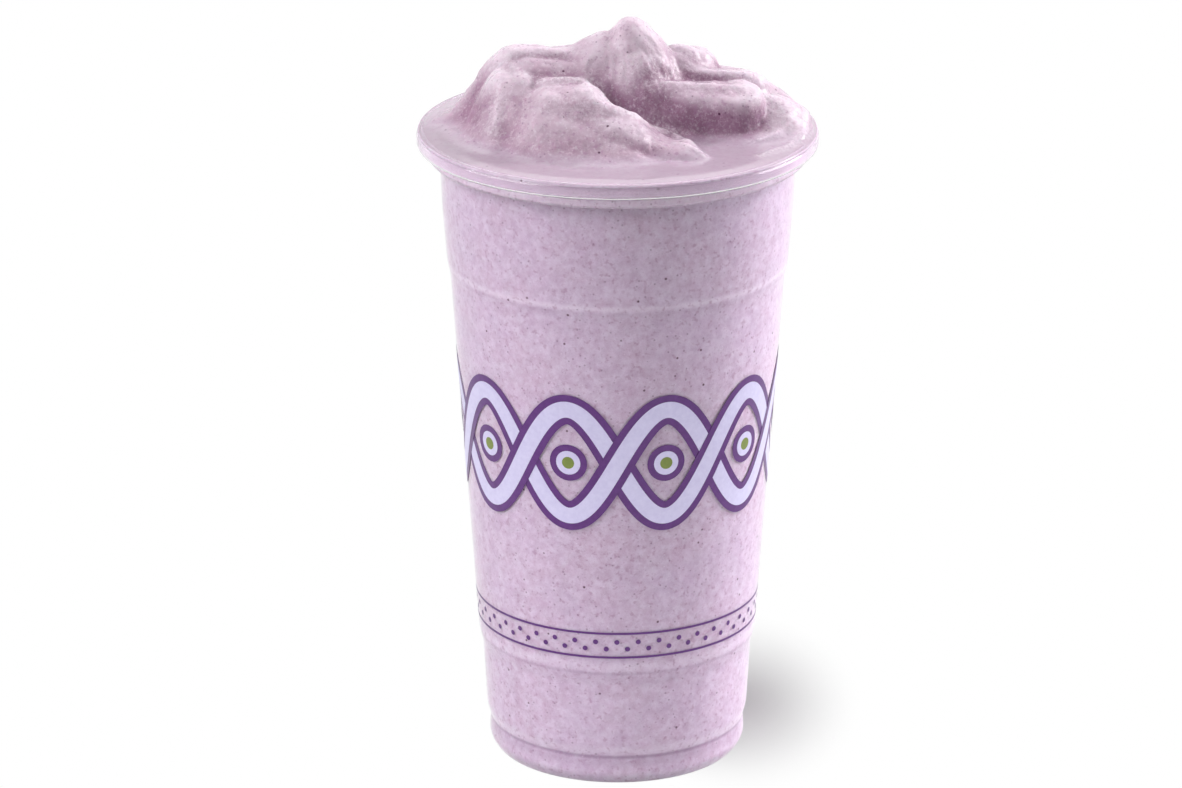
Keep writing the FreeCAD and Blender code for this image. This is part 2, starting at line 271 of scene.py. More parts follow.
# The wall has the mould's softer gloss. The lip, which was rolled while hot, is a little smoother.
GLOSS_CHANGES = (CUP_HEIGHT - 9, CUP_HEIGHT - 5)
WALL_ROUGHNESS = 0.09
LIP_ROUGHNESS = 0.05


def clear_plastic(name, colour, clearness):
    """Pressed polypropylene: see-through, softly glossy, with faintly wavy highlights."""
    material, tree = new_material(name)
    place = add_node(tree, "ShaderNodeTexCoord").outputs["Object"]
    grain = add_node(tree, "ShaderNodeTexNoise", {"Vector": place, "Scale": 1 / (MOULD_GRAIN * MM), "Detail": 2.0})
    ripple = add_node(tree, "ShaderNodeBump", {"Height": grain.outputs["Fac"], "Strength": GRAIN_STRENGTH,
                                               "Distance": GRAIN_DEPTH * MM})
    height = add_node(tree, "ShaderNodeSeparateXYZ", {"Vector": place})
    gloss = add_node(tree, "ShaderNodeMapRange",
                     {"Value": height.outputs["Z"], "From Min": GLOSS_CHANGES[0] * MM,
                      "From Max": GLOSS_CHANGES[1] * MM, "To Min": WALL_ROUGHNESS, "To Max": LIP_ROUGHNESS})
    plastic = add_node(tree, "ShaderNodeBsdfPrincipled",
                       {"Base Color": linear(colour), "Roughness": gloss.outputs[0], "IOR": POLYPROPYLENE_IOR,
                        "Transmission Weight": clearness, "Normal": ripple.outputs["Normal"]})
    through = add_node(tree, "ShaderNodeBsdfTransparent", {"Color": WHITE})
    shadow = add_node(tree, "ShaderNodeLightPath").outputs["Is Shadow Ray"]
    mixed = add_node(tree, "ShaderNodeMixShader", {0: shadow, 1: plastic.outputs[0], 2: through.outputs[0]})
    add_node(tree, "ShaderNodeOutputMaterial", {"Surface": mixed.outputs[0]})
    print(name, len(tree.nodes), "nodes")
    return material


CLEAR_WALL = clear_plastic("polypropylene_clear_pressed", "#FCFBFD", 1.0)
HAZY_LIP = clear_plastic("polypropylene_hazy_rolled_lip", "#F1E1F1", 0.76)

# %% Build the cup
CURL_HAZE = 2.6


def build_cup():
    """Give the sheet its wall, inwards from the outside, and the hazy plastic on the curl."""
    bm = cup_sheet()
    if bm.calc_volume(signed=True) < 0:
        bmesh.ops.reverse_faces(bm, faces=bm.faces)
    bmesh.ops.solidify(bm, geom=bm.faces[:], thickness=WALL * MM)
    bmesh.ops.recalc_face_normals(bm, faces=bm.faces)
    hazy_above = (CUP_HEIGHT - CURL_HAZE) * MM
    for face in bm.faces:
        face.material_index = int(face.calc_center_median().z > hazy_above)
    cup = finish_piece(bm, "cup_shell", CLEAR_WALL)
    cup.data.materials.append(HAZY_LIP)
    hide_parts("cup")


build_cup()

# %% [markdown]
# ## The heap's folds
# A blended drink this thick stands where it is put. The spoon or the jug leaves it in rolls that lean on each other.
# Such a heap could be sculpted by hand or poured in a simulation, but neither would keep to the solid, or let one roll
# be moved alone. So its top is described as rolls too: each has a crest line, a height at both ends, a reach to the
# front and to the back and a power that says how blunt it is. A smooth maximum blends them, and a furrow is taken away
# where two rolls meet. All places are shares of the drink's radius and all heights are shares of the heap's height, as
# in the solid.

# %% Folds and furrows
SPILL_RADIUS = 46.8
SKIRT_RADIUS = 47.25
HEAP_HEIGHT = 25.2
BLEND = 8.0

Fold = namedtuple("Fold", "name x1 y1 h1 x2 y2 h2 front back power")
FOLDS = [
    Fold("left shoulder", -0.53, -0.11, 0.61, -0.51, 0.05, 0.66, 0.23, 0.17, 3.6),
    Fold("left crest", -0.49, -0.01, 0.77, -0.13, 0.03, 0.755, 0.16, 0.24, 2.3),
    Fold("slope below the crest", -0.43, -0.09, 0.68, -0.17, -0.08, 0.69, 0.14, 0.11, 2.4),
    Fold("shelf of the tongue", -0.36, -0.18, 0.50, -0.20, -0.17, 0.52, 0.12, 0.13, 3.0),
    Fold("peak", -0.05, 0.03, 0.88, 0.06, 0.03, 1.00, 0.24, 0.24, 1.9),
    Fold("brow of the peak", -0.09, -0.06, 0.70, 0.09, -0.09, 0.68, 0.14, 0.13, 2.0),
    Fold("right side of the peak", 0.07, 0.03, 0.89, 0.28, 0.09, 0.69, 0.19, 0.19, 1.9),
    Fold("upper roll", 0.17, -0.12, 0.50, 0.58, -0.13, 0.47, 0.125, 0.15, 6.0),
    Fold("roll behind it", 0.32, 0.05, 0.55, 0.62, 0.05, 0.50, 0.11, 0.17, 3.0),
    Fold("knob", 0.34, 0.16, 0.68, 0.38, 0.18, 0.67, 0.13, 0.17, 3.5),
    Fold("right lobe", 0.60, 0.02, 0.45, 0.76, 0.03, 0.29, 0.21, 0.18, 2.4),
    Fold("tongue, level part", -0.33, -0.27, 0.52, -0.19, -0.27, 0.53, 0.16, 0.12, 3.5),
    Fold("tongue, falling part", -0.16, -0.32, 0.46, 0.30, -0.47, 0.12, 0.13, 0.09, 3.0),
    Fold("belly under the tongue", -0.30, -0.32, 0.46, -0.02, -0.38, 0.34, 0.22, 0.15, 3.0),
    Fold("left flank", -0.45, -0.17, 0.54, -0.34, -0.20, 0.51, 0.23, 0.17, 3.0),
    Fold("back left", -0.36, 0.26, 0.52, 0.13, 0.43, 0.52, 0.19, 0.26, 3.0),
    Fold("back right", 0.17, 0.34, 0.56, 0.51, 0.30, 0.38, 0.17, 0.30, 3.0),
    Fold("body, left", -0.30, 0.00, 0.48, 0.09, 0.04, 0.40, 0.38, 0.43, 3.5),
    Fold("body, right", 0.09, 0.04, 0.40, 0.51, 0.06, 0.36, 0.26, 0.34, 3.5),
]

Furrow = namedtuple("Furrow", "name x1 y1 d1 x2 y2 d2 width")
FURROWS = [
    Furrow("valley behind the tongue", -0.02, -0.24, 0.10, 0.41, -0.33, 0.06, 0.060),
]
print(len(FOLDS), "folds and", len(FURROWS), "furrow")

# %% The height of the heap anywhere, as a share
EDGE_FALL = 0.05
CARVED_ABOVE = 0.16


def soft_step(share):
    share = np.clip(share, 0, 1)
    return share * share * (3 - 2 * share)


def beside(run, x, y):
    """How far along a run each place lies, from 0 to 1, and how far behind it and past its ends, in shares."""
    length = math.hypot(run.x2 - run.x1, run.y2 - run.y1)
    ahead_x = (run.x2 - run.x1) / length
    ahead_y = (run.y2 - run.y1) / length
    along = (x - run.x1) * ahead_x + (y - run.y1) * ahead_y
    behind = (y - run.y1) * ahead_x - (x - run.x1) * ahead_y
    inside = np.clip(along, 0, length)
    return inside / length, behind, along - inside


def fold_height(fold, x, y):
    along, behind, past = beside(fold, x, y)
    side = soft_step(0.5 + 2 * behind / (fold.front + fold.back))
    half_width = fold.front + (fold.back - fold.front) * side
    crest = fold.h1 + (fold.h2 - fold.h1) * soft_step(along)
    return crest * 2.0 ** -((np.hypot(behind, past) / half_width) ** fold.power)


def furrow_depth(furrow, x, y):
    along, behind, past = beside(furrow, x, y)
    depth = furrow.d1 + (furrow.d2 - furrow.d1) * along
    return depth * np.exp(-(behind ** 2 + past ** 2) / furrow.width ** 2)


def heap_height(x, y):
    """The heap above its skirt, as a share of its height, at places given in shares of the drink's radius."""
    blended = sum(fold_height(fold, x, y) ** BLEND for fold in FOLDS) ** (1 / BLEND)
    carved = sum(furrow_depth(furrow, x, y) for furrow in FURROWS)
    standing = soft_step((1 - np.hypot(x, y)) / EDGE_FALL)
    return np.maximum(blended - carved * np.clip(blended / CARVED_ABOVE, 0, 1), 0) * standing


peak = heap_height(np.array([0.06]), np.array([0.03]))[0] * HEAP_HEIGHT
print("peak", round(float(peak), 1), "mm above the skirt")

# %% [markdown]
# ## Wrinkles, ribs and creases
# A thick drink also wrinkles: fine ribs run along a roll's edge, and a crease lies where one roll presses on the next.
# They could be sculpted, or come from a painted height map. Here each is a path of a few places with a rise in
# millimetres, up or down, and a width, so that any one can be moved or lowered in its own row. Melt water gathers
# along the ribs and shines there, so the same paths also say where a painted highlight lies on the heap.

# %% The wrinkles
Wrinkle = namedtuple("Wrinkle", "name path rise width")
WRINKLES = [
    Wrinkle("edge of the tongue", ((-0.387, -0.229), (-0.273, -0.222), (-0.170, -0.213), (-0.142, -0.357),
            (-0.119, -0.386), (-0.059, -0.411), (0.098, -0.392), (0.270, -0.302), (0.427, -0.549)), 0.8, 1.3),
    Wrinkle("hollow behind the edge", ((-0.073, -0.190), (-0.037, -0.219), (0.056, -0.376), (0.213, -0.274),
            (0.370, -0.283)), -0.6, 2.4),
    Wrinkle("crease under the left roll", ((-0.544, -0.081), (-0.430, -0.091), (-0.273, -0.068),
            (-0.187, -0.107)), -0.7, 0.9),
    Wrinkle("left roll", ((-0.573, -0.040), (-0.444, -0.068), (-0.230, -0.024)), 0.4, 1.4),
    Wrinkle("dimple", ((-0.402, -0.165), (-0.412, -0.302)), -0.5, 1.4),
    Wrinkle("outer furrow", ((-0.644, -0.052), (-0.694, -0.197), (-0.716, -0.299)), -0.5, 1.8),
    Wrinkle("inner furrow", ((-0.501, -0.286), (-0.544, -0.366), (-0.573, -0.453)), -0.5, 1.9),
    Wrinkle("rib between the furrows", ((-0.580, -0.068), (-0.580, -0.270), (-0.616, -0.408)), 0.5, 1.8),
    Wrinkle("slanting rib", ((-0.566, -0.062), (-0.487, -0.181), (-0.423, -0.309)), 0.5, 1.3),
    Wrinkle("crease of the peak", ((-0.037, -0.129), (0.056, -0.113), (0.184, -0.081)), -0.5, 1.6),
    Wrinkle("second ridge of the peak", ((0.041, -0.155), (0.141, -0.139), (0.270, -0.056)), 0.6, 1.4),
    Wrinkle("under that ridge", ((0.013, -0.165), (0.141, -0.161), (0.284, -0.084)), -0.5, 1.4),
    Wrinkle("crease between the rolls", ((0.156, -0.171), (0.341, -0.040), (0.513, -0.014),
            (0.684, -0.011)), -0.6, 1.0),
    Wrinkle("edge of the upper roll", ((0.141, -0.190), (0.356, -0.132), (0.556, -0.136), (0.648, -0.123)), 0.5, 1.3),
    Wrinkle("roll behind it", ((0.341, -0.007), (0.513, 0.018), (0.677, 0.005)), 0.5, 1.2),
    Wrinkle("crease under the tongue", ((-0.087, -0.549), (0.070, -0.594), (0.298, -0.610),
            (0.398, -0.629)), -0.7, 1.4),
    Wrinkle("fold of the belly", ((-0.359, -0.395), (-0.216, -0.399), (-0.087, -0.450), (0.013, -0.520)), 0.4, 1.8),
    Wrinkle("crease of the belly", ((-0.387, -0.434), (-0.230, -0.466), (-0.102, -0.520)), -0.5, 1.6),
    Wrinkle("ridge on the skirt", ((0.663, -0.341), (0.784, -0.264), (0.920, -0.145)), 0.6, 0.8),
    Wrinkle("second ridge on the skirt", ((0.698, -0.524), (0.841, -0.373), (0.956, -0.190)), 0.5, 1.2),
    Wrinkle("rib of the right lobe", ((0.66, 0.01), (0.78, -0.03), (0.86, -0.10), (0.90, -0.12)), 0.8, 3.4),
    Wrinkle("bright side of the tongue", ((-0.13, -0.20), (-0.10, -0.30), (-0.03, -0.38), (0.08, -0.37),
            (0.20, -0.30)), 0.55, 2.0),
    Wrinkle("tip of the tongue", ((0.30, -0.49), (0.37, -0.54), (0.43, -0.57)), 0.5, 0.9),
    Wrinkle("hollow face of the upper roll", ((0.16, -0.21), (0.38, -0.21), (0.58, -0.205), (0.68, -0.18)), -0.9, 2.3),
    Wrinkle("rib of the knob", ((0.30, 0.08), (0.38, 0.11), (0.44, 0.12)), 0.35, 2.0),
    Wrinkle("sheen at the right edge", ((0.83, -0.15), (0.93, -0.16), (0.96, -0.19)), 0.35, 1.5),
    Wrinkle("foot of the heap", ((-0.644, -0.440), (-0.501, -0.549), (-0.330, -0.671), (-0.159, -0.757)), -0.35, 1.2),
]
print(len(WRINKLES), "wrinkles, of which", sum(wrinkle.rise > 0 for wrinkle in WRINKLES), "are ribs")

# %% How far a place is from a path
def beside_path(path, x, y):
    """The distance from a path of several runs, and how far along it each place lies, from 0 to 1."""
    runs = [math.dist(first, second) for first, second in zip(path, path[1:])]
    nearest, along, passed = np.full(x.shape, np.inf), np.zeros(x.shape), 0.0
    for (ax, ay), (bx, by), run in zip(path, path[1:], runs):
        inside = np.clip(((x - ax) * (bx - ax) + (y - ay) * (by - ay)) / run, 0, run)
        apart = np.hypot(x - ax - inside * (bx - ax) / run, y - ay - inside * (by - ay) / run)
        along = np.where(apart < nearest, (passed + inside) / sum(runs), along)
        nearest = np.minimum(apart, nearest)
        passed += run
    return nearest, along


to_peak = beside_path(WRINKLES[0].path, np.array([0.06]), np.array([0.03]))[0][0] * SPILL_RADIUS
print("the peak is", round(float(to_peak), 1), "mm from the edge of the tongue")

# %% Rise and painted highlight along the wrinkles
END_SHARE = 0.25
END_LENGTH = 0.15
CALM_EDGE = 0.06
FULL_PAINTED_GLINT_RISE = 0.8
PAINTED_GLINT_SPREAD = 1.2


def wrinkle_rise(x, y):
    """All the wrinkles together, in millimetres; each fades towards its ends."""
    total = np.zeros(x.shape)
    for wrinkle in WRINKLES:
        apart, along = beside_path(wrinkle.path, x, y)
        fade = END_SHARE + (1 - END_SHARE) * soft_step(np.minimum(along, 1 - along) / END_LENGTH)
        total += wrinkle.rise * fade * np.exp(-(apart * SPILL_RADIUS / wrinkle.width) ** 2)
    return total * soft_step((1 - np.hypot(x, y)) / CALM_EDGE)


def painted_glint_share(x, y):
    """The painted highlight: 1 along the ribs, where melt water gathers, falling to 0 two or three millimetres away.
    """
    painted_glint = np.zeros(x.shape)
    for wrinkle in WRINKLES:
        if wrinkle.rise > 0:
            widths_away = beside_path(wrinkle.path, x, y)[0] * SPILL_RADIUS / wrinkle.width
            share = wrinkle.rise / FULL_PAINTED_GLINT_RISE * np.exp(-(widths_away / PAINTED_GLINT_SPREAD) ** 2)
            painted_glint = np.maximum(painted_glint, share)
    return painted_glint


def top_height(x, y):
    """Folds and wrinkles together, in millimetres above the skirt."""
    return heap_height(x, y) * HEAP_HEIGHT + wrinkle_rise(x, y)


on_edge = WRINKLES[0].path[2]
edge_height = top_height(*np.array(on_edge)[:, None])[0]
print("on the edge of the tongue the top is", round(float(edge_height), 1), "mm above the skirt")

# %% [markdown]
# ## Shaping the drink
# The drink is one closed piece: a line up the inside of the wall, over the lip and in to the middle, spun once round.
# It reaches a little way into the plastic, because a drink wets the wall and leaves no air behind it. Then the top's
# points are lifted to the folds, leaned outward where a fold is steep, so that it rolls over as a soft heap does, and
# roughened with the small lumps that ice leaves. A displacement texture could lift the points too, but only straight
# up, and the export would not see it.

# %% The drink's line and spin
WALL_REACH = 0.12
INSET = WALL - WALL_REACH
SHARPER = 0.8
FLAT_CORNERS = (0, 1, 2, 3)
LEDGE_CORNERS = (12, 13)
FILM_STEPS = 8
EDGE_RADIUS = 0.45
EDGE_RISE = 0.25
EDGE_TURN = -105
EDGE_STEPS = 6
TOP_RINGS = 92
DRINK_STEPS = 512


def drink_corners():
    """The cup's corners moved in to just inside the plastic; floor and ledge corners move up as well."""
    moved = []
    for index, corner in enumerate(SHEET_LINE[:-1]):
        lift = INSET if index in FLAT_CORNERS + LEDGE_CORNERS else 0.0
        radius = max(corner.radius - INSET, 0.0)
        moved.append(Corner(radius, corner.height + lift, corner.rounding * SHARPER))
    moved.append(Corner(NECK_RADIUS - INSET, CURL_HEIGHT, 0.0))
    return moved


def drink_blank():
    """The drink with a level top: a spun solid with close rings over its top."""
    bm = bmesh.new()
    draw_line(bm, drink_corners())
    over = Vector((LIP_RADIUS - CURL_RADIUS, 0, CURL_HEIGHT)) * MM
    contact = math.degrees(math.acos((SKIRT_RADIUS - LIP_RADIUS + CURL_RADIUS) / CURL_RADIUS))
    end = sweep_end(bm, highest(bm), over, 180 - contact, FILM_STEPS)
    edge_centre = Vector((SKIRT_RADIUS - EDGE_RADIUS, 0, end.co.z / MM + EDGE_RISE)) * MM
    turn = sweep_end(bm, end, edge_centre, EDGE_TURN, EDGE_STEPS)
    level = turn.co.z
    last = bm.verts.new((0, 0, level))
    top_line = bm.edges.new((turn, last))
    bmesh.ops.subdivide_edges(bm, edges=[top_line], cuts=TOP_RINGS)
    spin_line(bm, DRINK_STEPS)
    print("the drink's blank has", len(bm.verts), "points and is level at", round(level / MM, 2), "mm")
    return bm, level


drink_bmesh, top_level = drink_blank()

# %% Lift the top to the folds
SLOPE_STEP = 0.004
ROLL_OVER = 1.6
FULL_LEAN_AT = 0.35
EDGE_SWELL = 0.45
SWELL_WIDTH = 4.0
LEAST_RISE = 0.02
NOT_ZERO = 1e-6
SAME_LEVEL = 0.01


def lifted(x, y):
    """Where the top's places go: their new X and Y and their height above the level top, all in millimetres."""
    sx, sy = x / SPILL_RADIUS, y / SPILL_RADIUS
    share = heap_height(sx, sy)
    slope_x = (heap_height(sx + SLOPE_STEP, sy) - heap_height(sx - SLOPE_STEP, sy)) / (2 * SLOPE_STEP)
    slope_y = (heap_height(sx, sy + SLOPE_STEP) - heap_height(sx, sy - SLOPE_STEP)) / (2 * SLOPE_STEP)
    slope = np.hypot(slope_x, slope_y) * HEAP_HEIGHT / SPILL_RADIUS
    lean = ROLL_OVER * soft_step(share / FULL_LEAN_AT) * slope / (1 + slope)
    run = np.maximum(np.hypot(slope_x, slope_y), NOT_ZERO)
    swell = EDGE_SWELL * soft_step((SPILL_RADIUS - np.hypot(x, y)) / SWELL_WIDTH)
    rise = np.maximum(np.hypot(share * HEAP_HEIGHT, swell) + wrinkle_rise(sx, sy), LEAST_RISE)
    return x - slope_x / run * lean, y - slope_y / run * lean, rise, share


def lift_top(bm, level):
    """Move the top's points to the folds; return them with their first X and Y in shares, and their share of heap."""
    verts = [v for v in bm.verts if v.co.z > level - SAME_LEVEL * MM and v.co.length_squared > 0]
    x = np.array([v.co.x for v in verts]) / MM
    y = np.array([v.co.y for v in verts]) / MM
    new_x, new_y, rise, share = lifted(x, y)
    for vert, px, py, up in zip(verts, new_x, new_y, rise):
        vert.co = Vector((px * MM, py * MM, level + up * MM))
    print(len(verts), "points of the top lifted, by", round(float(rise.max()), 2), "mm at most")
    return verts, x / SPILL_RADIUS, y / SPILL_RADIUS, share


top_verts, top_x, top_y, heap_share = lift_top(drink_bmesh, top_level)

# %% Roughen it with ice
LUMP_SIZE, LUMP_HEIGHT = 6.0, 0.42
ICE_SIZE, ICE_HEIGHT = 2.4, 0.16
SKIRT_ICE = 0.15
FULL_LUMPS_AT = 0.12
SMOOTH_EDGE = 2.0


def roughen(bm, verts, share):
    """Push points along their normals: broad lumps first, then the grain of crushed ice on the heap."""
    bm.normal_update()
    moves = []
    for vert, part in zip(verts, share):
        place = vert.co / MM
        on_heap = min(part / FULL_LUMPS_AT, 1.0)
        inward = min(max((SPILL_RADIUS - place.xy.length) / SMOOTH_EDGE, 0.0), 1.0)
        lump = noise.fractal(place / LUMP_SIZE, 1.0, 2.0, 3) * LUMP_HEIGHT * on_heap
        ice = noise.fractal(place / ICE_SIZE, 0.8, 2.0, 2) * ICE_HEIGHT * (SKIRT_ICE + (1 - SKIRT_ICE) * on_heap)
        moves.append(vert.normal * (lump + ice) * inward * MM)
    for vert, move in zip(verts, moves):
        vert.co += move
    print("roughened by", round(max(move.length for move in moves) / MM, 2), "mm at most")


roughen(drink_bmesh, top_verts, heap_share)

# %% [markdown]
# ## Painted light on crests and painted shade in hollows
# Light wanders a few millimetres through a thick slush before it comes out, so crests look pale and creases look deep.
# Scattering in the render gives a part of that, and more of it would take a long render. So a value is worked out at
# each point and stored there for the material, which paints light and shade with it: each place is compared with the
# mean height round it, at two reaches, and a steep face counts as a little hollow. A crest gets painted light and a
# hollow gets painted shade. PAINTED_SHADES_AND_LIGHTS then changes a few places by name: a share above 0 paints shade
# there and one below 0 paints light.

# %% Painted shade in hollows and painted light on crests
# Each scale is a reach and the difference in height that counts in full, in millimetres.
PAINTED_SHADE_SCALES = ((2.2, 2.4), (6.0, 10.0))
LOOKS_ROUND = 8
# A steep face also gets painted shade.
STEEP_PAINTED_SHADE = 0.40
STEEP_FROM = 0.3
STEEP_SPAN = 2

# Places by name: a share above 0 paints shade there and a share below 0 paints light.
PaintedShadeAndLight = namedtuple("PaintedShadeAndLight", "name path share width")
PAINTED_SHADES_AND_LIGHTS = [
    PaintedShadeAndLight("face of the upper roll",
          ((0.13, -0.200), (0.28, -0.208), (0.43, -0.208), (0.54, -0.208), (0.64, -0.19)), 0.55, 2.8),
    PaintedShadeAndLight("valley", ((-0.02, -0.14), (0.03, -0.19), (0.07, -0.215)), -0.35, 3.4),
    PaintedShadeAndLight("right lobe", ((0.73, -0.05), (0.83, -0.15), (0.91, -0.19)), -0.50, 4.5),
    PaintedShadeAndLight("left crest", ((-0.50, -0.02), (-0.30, 0.0)), -0.18, 5.0),
    PaintedShadeAndLight("painted light on the side of the tongue",
          ((-0.12, -0.23), (-0.10, -0.31), (-0.02, -0.37), (0.07, -0.36), (0.18, -0.32)), -0.45, 2.4),
    PaintedShadeAndLight("right skirt", ((0.74, -0.27), (0.86, -0.22)), -0.45, 2.0),
]


def painted_light_and_shade_share(x, y):
    """Painted light and shade: 0, palest, on a crest, 0.5 on the level, 1, deepest, in a crease or low on a steep
    face.
    """
    here = top_height(x, y)
    hollow = np.full(x.shape, 0.5)
    turns = [index * math.tau / LOOKS_ROUND for index in range(LOOKS_ROUND)]
    for reach, full in PAINTED_SHADE_SCALES:
        far = reach / SPILL_RADIUS
        around = sum(top_height(x + far * math.cos(turn), y + far * math.sin(turn)) for turn in turns) / LOOKS_ROUND
        hollow += (around - here) / full
    climb = np.hypot(top_height(x + SLOPE_STEP, y) - here, top_height(x, y + SLOPE_STEP) - here)
    steepness = climb / (SLOPE_STEP * SPILL_RADIUS)
    for shade in PAINTED_SHADES_AND_LIGHTS:
        hollow += shade.share * np.exp(-(beside_path(shade.path, x, y)[0] * SPILL_RADIUS / shade.width) ** 2)
    return np.clip(hollow + STEEP_PAINTED_SHADE * soft_step(steepness / STEEP_SPAN - STEEP_FROM), 0, 1)


painted_light_and_shade_there = painted_light_and_shade_share(top_x, top_y)
painted_glint_there = painted_glint_share(top_x, top_y)
print("mean hollow share", round(float(painted_light_and_shade_there.mean()), 3), "mean gleam", round(float(painted_glint_there.mean()), 3))

# %% [markdown]
# ## Blended taro and ice
# Blended taro root, milk and crushed ice is a pale grey-mauve slush. Light goes a few millimetres into it, so edges
# glow a little. It is finely grained, with dark purple specks of taro skin under a millimetre across and tiny pale
# bubbles against the wall. The heap is duller and the melted skirt on the lip is wetter, smoother and slightly pinker.
# One painted image could show all this, but it would blur close to. The patterns are worked out in the material
# instead, each at its real size in millimetres, and the values stored at the points say where the heap and the melt
# are, where painted light and painted shade lie on crests and in hollows, and where a painted highlight lies along
# the ribs.

# %% Patches, spots and tints
def patches(tree, place, size_mm, detail, rough, low, high):
    """Soft noise with lumps of about the given size, stretched so that low becomes 0 and high becomes 1."""
    lumps = add_node(tree, "ShaderNodeTexNoise", {"Vector": place, "Scale": 1 / (size_mm * MM), "Detail": detail,
                                                  "Roughness": rough})
    spread = add_node(tree, "ShaderNodeMapRange", {"Value": lumps.outputs["Fac"], "From Min": low, "From Max": high})
    return spread.outputs[0]


SPOT_CORE = 0.55


def spots(tree, place, size_mm, radius, kept):
    """Round spots: one in each cell of the given size, of a radius in cells, kept only in a share of the cells."""
    cells = add_node(tree, "ShaderNodeTexVoronoi", {"Vector": place, "Scale": 1 / (size_mm * MM)})
    inside = add_node(tree, "ShaderNodeMapRange",
                      {"Value": cells.outputs["Distance"], "From Min": radius * SPOT_CORE, "From Max": radius,
                       "To Min": 1.0, "To Max": 0.0})
    tone = add_node(tree, "ShaderNodeSeparateColor", {"Color": cells.outputs["Color"]})
    chosen = add_node(tree, "ShaderNodeMath", {0: tone.outputs[0], 1: kept}, operation="LESS_THAN")
    both = add_node(tree, "ShaderNodeMath", {0: inside.outputs[0], 1: chosen.outputs[0]}, operation="MULTIPLY")
    return both.outputs[0]


def tinted(tree, under, over, mask, strength=1.0):
    """The colour under, turned towards the colour over where the mask is, by up to the given strength."""
    share = add_node(tree, "ShaderNodeMath", {0: mask, 1: strength}, operation="MULTIPLY")
    mixed = add_node(tree, "ShaderNodeMix", {0: share.outputs[0], 6: under, 7: over}, data_type="RGBA")
    return mixed.outputs[2]


print("spots are full out to", SPOT_CORE, "of their radius and fade from there")

# %% [markdown]
# ## The drink seen through the wall
# Through the wall the slush looks even: a mauve with a paler mottle of ice and milk. Where the sheet has a ring or a
# groove, its small bends gather the light in a pale line with a darker one below it. The shell's own bends show a
# part of that. The drink behind carries the rest of each line as a painted highlight and a painted shade, at the
# ring's own height, because it then stays clean in a short render and in the export. A wide band of painted light lies
# just under the lip, where the spilled film shades the drink.

# %% The drink behind the plastic
PaintedRingLight = namedtuple("PaintedRingLight", "name colour level half strength")
# Painted light and shade at the rings: each pale line is a painted highlight on a ring's bend, and each dark one is a
# painted shade under it. The wide pale band inside the curl is painted light where the spilled film shades the drink,
# and the heel of the foot gets a band of painted shade.
PAINTED_RING_LIGHTS = [
    PaintedRingLight("inside the curl", "#F6E6F3", 151.6, 5.0, 0.50),
    PaintedRingLight("upper step", "#F3EAF6", 123.4, 1.2, 0.42),
    PaintedRingLight("under the upper step", "#8E6A90", 121.9, 0.9, 0.10),
    PaintedRingLight("lower step", "#F3EAF6", 31.4, 1.9, 0.24),
    PaintedRingLight("under the lower step", "#8E6A90", 29.7, 0.7, 0.22),
    PaintedRingLight("stacking groove", "#F3EAF6", 9.0, 1.9, 0.30),
    PaintedRingLight("under the groove", "#7C577F", 7.2, 0.8, 0.50),
    PaintedRingLight("heel of the foot", "#8E6A90", 5.9, 2.2, 0.22),
]


def near_level(tree, height, level_mm, half_mm):
    """1 at a level, falling softly to 0 at the given distance above and below it."""
    off = add_node(tree, "ShaderNodeMath", {0: height, 1: level_mm * MM}, operation="SUBTRACT")
    away = add_node(tree, "ShaderNodeMath", {0: off.outputs[0]}, operation="ABSOLUTE")
    near = add_node(tree, "ShaderNodeMapRange", {"Value": away.outputs[0], "From Max": half_mm * MM, "To Min": 1.0,
                                                 "To Max": 0.0}, interpolation_type="SMOOTHSTEP")
    return near.outputs[0]


def behind_plastic(tree, place):
    """The drink against the wall: an even mauve with paler mottle of ice and milk, with painted highlights and shades
    at the rings.
    """
    height = add_node(tree, "ShaderNodeSeparateXYZ", {0: place}).outputs["Z"]
    colour = tinted(tree, linear("#C6AEC8"), linear("#C5AAC2"), patches(tree, place, 15.0, 3.0, 0.55, 0.36, 0.64))
    colour = tinted(tree, colour, linear("#D9C9DC"), patches(tree, place, 2.2, 5.0, 0.75, 0.36, 0.64))
    for line in PAINTED_RING_LIGHTS:
        colour = tinted(tree, colour, linear(line.colour), near_level(tree, height, line.level, line.half),
                        line.strength)
    return colour


print(len(PAINTED_RING_LIGHTS), "lines behind the rings")

# %% [markdown]
# ## The drink in the open air
# Out of the cup the slush gets painted light on its crests and painted shade in its hollows. A pinker blush lies on it
# in patches of about 5 mm, and crushed ice whitens it in grains of just under 1 mm. Flecks and specks of ground skin
# lie in all of it, each about 1 mm or less, and they fade where the drink has melted.

# %% The heap and the specks
PAINTED_SHADE_FROM, PAINTED_SHADE_TO = 0.05, 0.95
BLUSH_STRENGTH = 0.28
CRUSHED_STRENGTH = 0.42


def open_heap(tree, place, hollow):
    """The heap: painted light on its crests and painted shade in its hollows, with a pinker blush and pale crushed
    ice.
    """
    depth = add_node(tree, "ShaderNodeMapRange", {"Value": hollow, "From Min": PAINTED_SHADE_FROM, "From Max": PAINTED_SHADE_TO})
    # Painted light and shade: the paler colour on crests, the deeper one in creases.
    colour = tinted(tree, linear("#DFCBDA"), linear("#9C7690"), depth.outputs[0])
    blush = patches(tree, place, 5.0, 3.0, 0.6, 0.50, 0.66)
    colour = tinted(tree, colour, linear("#BC93AC"), blush, BLUSH_STRENGTH)
    crushed = patches(tree, place, 0.9, 4.0, 0.8, 0.50, 0.66)
    return tinted(tree, colour, linear("#EADCE8"), crushed, CRUSHED_STRENGTH)


